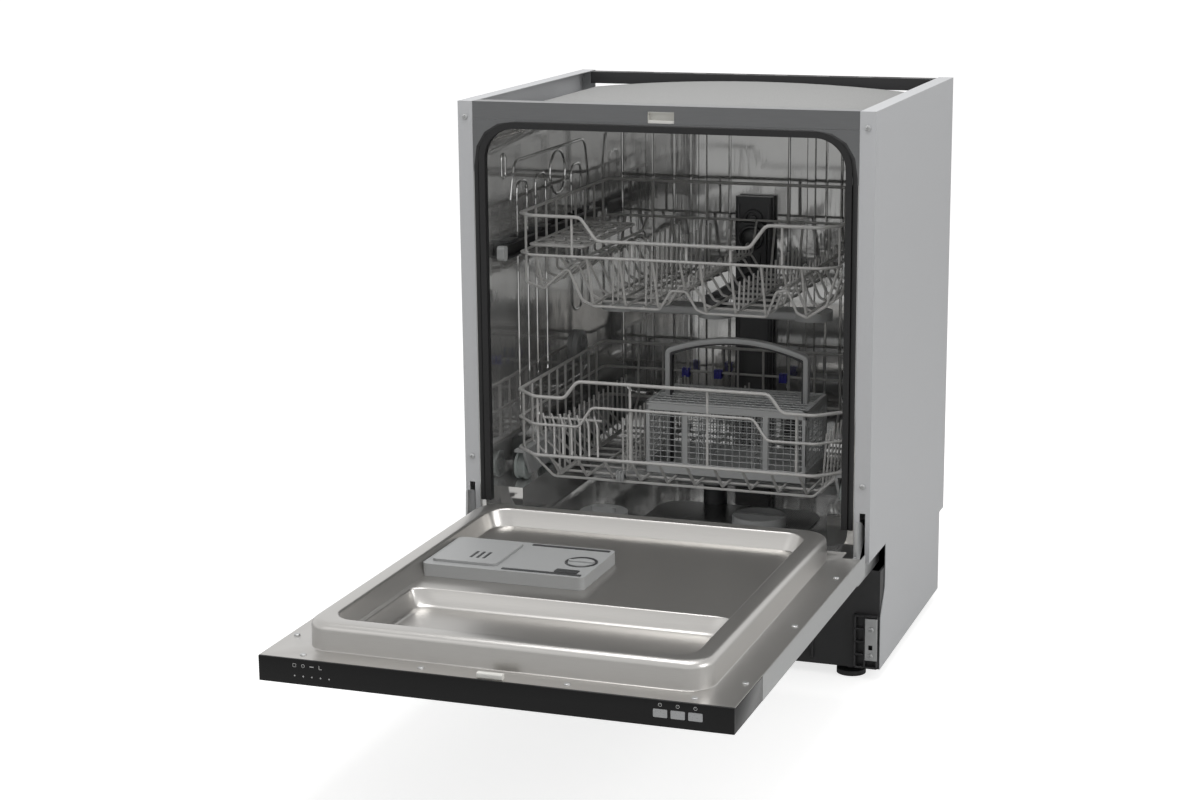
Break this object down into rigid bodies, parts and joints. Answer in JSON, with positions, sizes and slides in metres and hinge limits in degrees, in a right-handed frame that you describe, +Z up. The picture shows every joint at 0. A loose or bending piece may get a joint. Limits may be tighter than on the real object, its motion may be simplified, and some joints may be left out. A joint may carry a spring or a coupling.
{
  "type": "built-in dishwasher",
  "caption": "Built-in dishwasher with a folding door, two sliding wire racks, cutlery basket, spray arms, detergent dispenser and a plain control strip.",
  "frame": {"origin": "on the floor, midway between the open door's tip and the cabinet's back, on the middle plane", "axes": "+Z up, +Y from the door towards the cabinet's back, +X to the right seen from the front"},
  "size_m": [0.598, 1.17, 0.815],
  "materials": {
    "panel_paint": "satin silver-grey paint on sheet steel",
    "rail_steel": "bare galvanised sheet",
    "dark_metal": "black paint",
    "tub_steel": "bright drawn stainless steel",
    "liner_steel": "satin stainless steel",
    "door_skin": "zinc-grey sheet",
    "seal_rubber": "matt black",
    "felt": "grey damping felt",
    "base_plastic": "black moulded",
    "dark_plastic": "dark grey moulded",
    "arm_plastic": "mid grey moulded",
    "filter_steel": "perforated stainless steel",
    "gloss_black": "polished black",
    "button_grey": "silver-grey",
    "rack_coating": "grey nylon coating on steel wire",
    "grey_plastic": "grey moulded",
    "blue_plastic": "blue moulded"
  },
  "bodies": {
    "cabinet": {"right_side_panel": "panel_paint", "left_side_panel": "panel_paint", "front_top_rail": "rail_steel", "rear_cross_rail": "dark_metal", "latch_catch": "dark_plastic", "tub": "tub_steel", "door_gasket": "seal_rubber", "top_felt": "felt", "rear_felt": "felt", "base_tray": "base_plastic", "sump": "dark_plastic", "filter_plate": "filter_steel", "lower_spray_hub": "dark_plastic", "circulation_pump": "dark_plastic", "drain_pump": "dark_plastic", "water_softener": "dark_plastic", "inlet_valve": "dark_plastic", "drain_spigot": "dark_plastic", "supply_gland": "dark_plastic", "feed_duct": "dark_plastic", "air_vent": "arm_plastic", "hinge_brackets": "rail_steel", "rail_rollers": "dark_plastic"},
    "door": {"door_outer_panel": "door_skin", "door_inner_liner": "liner_steel", "control_strip": "gloss_black", "control_board": "dark_plastic", "door_latch": "dark_plastic", "detergent_dispenser": "grey_plastic", "door_bottom_seal": "seal_rubber", "hinge_arms": "rail_steel"},
    "lower_rack": {"lower_rack": "rack_coating", "tine_clips": "blue_plastic", "wheel_carriers": "grey_plastic", "cutlery_basket": "grey_plastic", "cutlery_lid": "grey_plastic", "cutlery_handle": "grey_plastic"},
    "upper_rack": {"upper_rack": "rack_coating", "upper_feed_pipe": "dark_plastic"},
    "upper_runners": {"upper_runners": "dark_metal", "runner_caps": "grey_plastic"},
    "front_left_foot": {"front_left_foot": "base_plastic"},
    "front_right_foot": {"front_right_foot": "base_plastic"},
    "rear_left_foot": {"rear_left_foot": "base_plastic"},
    "rear_right_foot": {"rear_right_foot": "base_plastic"},
    "filter_cup": {"filter_cup": "arm_plastic"},
    "salt_cap": {"salt_cap": "arm_plastic"},
    "lower_spray_arm": {"lower_spray_arm": "arm_plastic"},
    "button_1": {"button_1": "button_grey"},
    "button_2": {"button_2": "button_grey"},
    "button_3": {"button_3": "button_grey"},
    "dispenser_lid": {"dispenser_lid": "grey_plastic"},
    "rinse_cap": {"rinse_cap": "grey_plastic"},
    "rack_wheels_1": {"rack_wheels_1": "grey_plastic"},
    "rack_wheels_2": {"rack_wheels_2": "grey_plastic"},
    "rack_wheels_3": {"rack_wheels_3": "grey_plastic"},
    "rack_wheels_4": {"rack_wheels_4": "grey_plastic"},
    "folding_tines": {"folding_tines": "rack_coating"},
    "cup_shelf": {"cup_shelf": "rack_coating"},
    "upper_spray_arm": {"upper_spray_arm": "arm_plastic"}
  },
  "joints": [
    {"name": "front_left_foot_screw", "type": "slide", "parent": "cabinet", "child": "front_left_foot", "axis": [0, 0, -1], "range_m": [0, 0.03]},
    {"name": "front_right_foot_screw", "type": "slide", "parent": "cabinet", "child": "front_right_foot", "axis": [0, 0, -1], "range_m": [0, 0.03]},
    {"name": "rear_left_foot_screw", "type": "slide", "parent": "cabinet", "child": "rear_left_foot", "axis": [0, 0, -1], "range_m": [0, 0.03]},
    {"name": "rear_right_foot_screw", "type": "slide", "parent": "cabinet", "child": "rear_right_foot", "axis": [0, 0, -1], "range_m": [0, 0.03]},
    {"name": "filter_turn", "type": "hinge", "parent": "cabinet", "child": "filter_cup", "pos_m": [0.096, 0.235, 0.16], "axis": [0, 0, 1], "range_deg": [0, 45]},
    {"name": "salt_cap_turn", "type": "hinge", "parent": "cabinet", "child": "salt_cap", "pos_m": [-0.13, 0.19, 0.195], "axis": [0, 0, 1], "range_deg": [0, 180]},
    {"name": "lower_spray_turn", "type": "hinge", "parent": "cabinet", "child": "lower_spray_arm", "pos_m": [0, 0.332, 0.23], "axis": [0, 0, 1], "continuous": true},
    {"name": "door_hinge", "type": "hinge", "parent": "cabinet", "child": "door", "pos_m": [0, 0.038, 0.185], "axis": [1, 0, 0], "range_deg": [-90, 0]},
    {"name": "button_1_press", "type": "slide", "parent": "door", "child": "button_1", "axis": [0, 1, 0], "range_m": [0, 0.002], "stiffness_N_per_m": 300},
    {"name": "button_2_press", "type": "slide", "parent": "door", "child": "button_2", "axis": [0, 1, 0], "range_m": [0, 0.002], "stiffness_N_per_m": 300},
    {"name": "button_3_press", "type": "slide", "parent": "door", "child": "button_3", "axis": [0, 1, 0], "range_m": [0, 0.002], "stiffness_N_per_m": 300},
    {"name": "dispenser_lid_slide", "type": "slide", "parent": "door", "child": "dispenser_lid", "axis": [1, 0, 0], "range_m": [0, 0.074]},
    {"name": "rinse_cap_turn", "type": "hinge", "parent": "door", "child": "rinse_cap", "pos_m": [-0.026, -0.193, 0.241], "axis": [0, 0, 1], "range_deg": [0, 90]},
    {"name": "lower_rack_slide", "type": "slide", "parent": "cabinet", "child": "lower_rack", "axis": [0, -1, 0], "range_m": [0, 0.412]},
    {"name": "rack_wheels_1_roll", "type": "hinge", "parent": "lower_rack", "child": "rack_wheels_1", "pos_m": [0, 0.165, 0.2693], "axis": [1, 0, 0], "range_deg": [0, 1200]},
    {"name": "rack_wheels_2_roll", "type": "hinge", "parent": "lower_rack", "child": "rack_wheels_2", "pos_m": [0, 0.263, 0.2693], "axis": [1, 0, 0], "range_deg": [0, 1200]},
    {"name": "rack_wheels_3_roll", "type": "hinge", "parent": "lower_rack", "child": "rack_wheels_3", "pos_m": [0, 0.404, 0.2693], "axis": [1, 0, 0], "range_deg": [0, 1200]},
    {"name": "rack_wheels_4_roll", "type": "hinge", "parent": "lower_rack", "child": "rack_wheels_4", "pos_m": [0, 0.502, 0.2693], "axis": [1, 0, 0], "range_deg": [0, 1200]},
    {"name": "folding_tines_turn", "type": "hinge", "parent": "lower_rack", "child": "folding_tines", "pos_m": [-0.092, 0.32, 0.267], "axis": [0, -1, 0], "range_deg": [0, 85]},
    {"name": "upper_rack_slide", "type": "slide", "parent": "cabinet", "child": "upper_rack", "axis": [0, -1, 0], "range_m": [0, 0.225]},
    {"name": "upper_runners_slide", "type": "slide", "parent": "cabinet", "child": "upper_runners", "axis": [0, -1, 0], "range_m": [0, 0.115]},
    {"name": "cup_shelf_turn", "type": "hinge", "parent": "upper_rack", "child": "cup_shelf", "pos_m": [-0.227, 0.267, 0.602], "axis": [0, -1, 0], "range_deg": [0, 90]},
    {"name": "upper_spray_turn", "type": "hinge", "parent": "upper_rack", "child": "upper_spray_arm", "pos_m": [0, 0.332, 0.487], "axis": [0, 0, 1], "continuous": true}
  ],
  "couplings": [
    {"joint": "rack_wheels_1_roll", "follows": "lower_rack_slide", "rad_per_m": 50},
    {"joint": "rack_wheels_2_roll", "follows": "lower_rack_slide", "rad_per_m": 50},
    {"joint": "rack_wheels_3_roll", "follows": "lower_rack_slide", "rad_per_m": 50},
    {"joint": "rack_wheels_4_roll", "follows": "lower_rack_slide", "rad_per_m": 50},
    {"joint": "upper_runners_slide", "follows": "upper_rack_slide", "ratio": 0.5}
  ]
}
